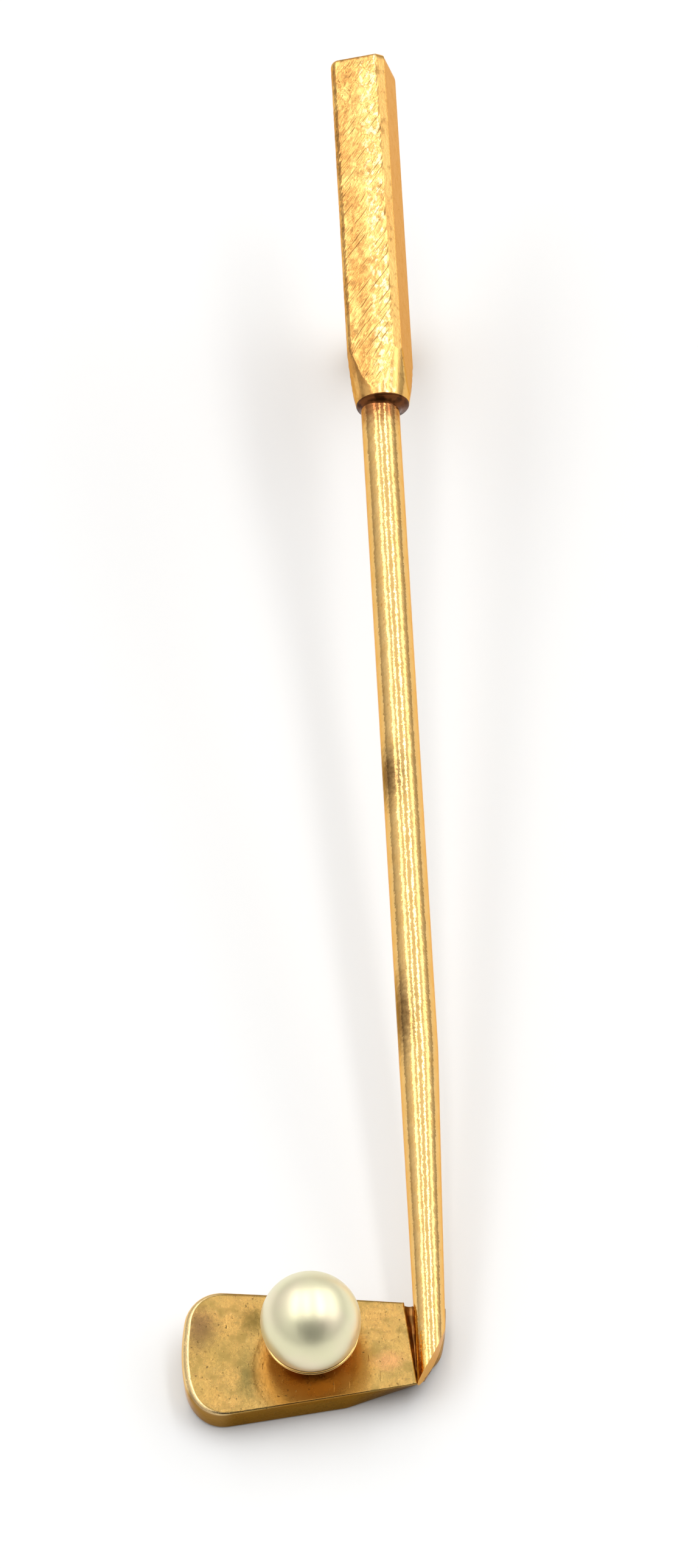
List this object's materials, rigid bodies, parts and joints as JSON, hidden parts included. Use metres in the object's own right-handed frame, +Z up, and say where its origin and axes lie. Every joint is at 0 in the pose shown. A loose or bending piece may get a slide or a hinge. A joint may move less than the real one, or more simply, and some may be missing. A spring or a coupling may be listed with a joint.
{
  "type": "tie tack",
  "caption": "Gold tie tack in the form of a golf putter with a pearl ball on its face, a tack post behind the grip and a slim ball-lock clutch.",
  "frame": {"origin": "centre of the bounding box at table level, with the tack lying face up on its sole and clutch", "axes": "+Y along the shaft from head to grip seen from above, +X from toe to heel, +Z up off the table"},
  "size_m": [0.0102, 0.0536, 0.0111],
  "materials": {
    "polished_gold": "polished 14 carat yellow gold with fine wear",
    "satin_gold": "satin yellow gold with a worn brown patina",
    "brushed_gold": "crosshatched Florentine brushing on the front, polished edges",
    "dark_solder": "dark oxidised solder",
    "pearl_nacre": "cream nacre with a soft lustre",
    "spring_steel": "bright steel"
  },
  "bodies": {
    "tack": {"head_blade": "satin_gold", "heel_solder": "dark_solder", "shaft": "polished_gold", "grip": "brushed_gold", "grip_solder_ring": "dark_solder", "pearl_cup": "polished_gold", "pearl_peg": "polished_gold", "pearl": "pearl_nacre", "tack_seat": "dark_solder", "tack_pad": "polished_gold", "tack_post": "polished_gold"},
    "bushing": {"clutch_bushing": "polished_gold"},
    "clutch": {"clutch_flange": "polished_gold", "clutch_housing": "polished_gold", "clutch_end_washer": "polished_gold"},
    "release": {"clutch_cage": "polished_gold", "clutch_pull_cap": "polished_gold", "clutch_spring": "spring_steel"},
    "ball_1": {"clutch_ball_1": "spring_steel"},
    "ball_2": {"clutch_ball_2": "spring_steel"},
    "ball_3": {"clutch_ball_3": "spring_steel"}
  },
  "joints": [
    {"name": "clutch_slide", "type": "slide", "parent": "tack", "child": "bushing", "axis": [-0.0185, 0.1654, -0.9861], "range_m": [-0.0005, 0.0062]},
    {"name": "clutch_spin", "type": "hinge", "parent": "bushing", "child": "clutch", "pos_m": [0.00384, 0.02015, 0.00509], "axis": [-0.0185, 0.1654, -0.9861], "continuous": true},
    {"name": "release_pull", "type": "slide", "parent": "clutch", "child": "release", "axis": [-0.0185, 0.1654, -0.9861], "range_m": [0, 0.0005], "stiffness_N_per_m": 600, "springref_m": -0.0005, "deforming": ["clutch_spring"]},
    {"name": "ball_1_shift", "type": "slide", "parent": "release", "child": "ball_1", "axis": [0.9998, 0.0031, -0.0182], "range_m": [0, 0.00007]},
    {"name": "ball_2_shift", "type": "slide", "parent": "release", "child": "ball_2", "axis": [-0.4999, -0.8556, -0.1342], "range_m": [0, 0.00007]},
    {"name": "ball_3_shift", "type": "slide", "parent": "release", "child": "ball_3", "axis": [-0.4999, 0.8526, 0.1524], "range_m": [0, 0.00007]}
  ],
  "couplings": [
    {"joint": "ball_1_shift", "follows": "release_pull", "ratio": 0.1228},
    {"joint": "ball_2_shift", "follows": "release_pull", "ratio": 0.1228},
    {"joint": "ball_3_shift", "follows": "release_pull", "ratio": 0.1228}
  ]
}
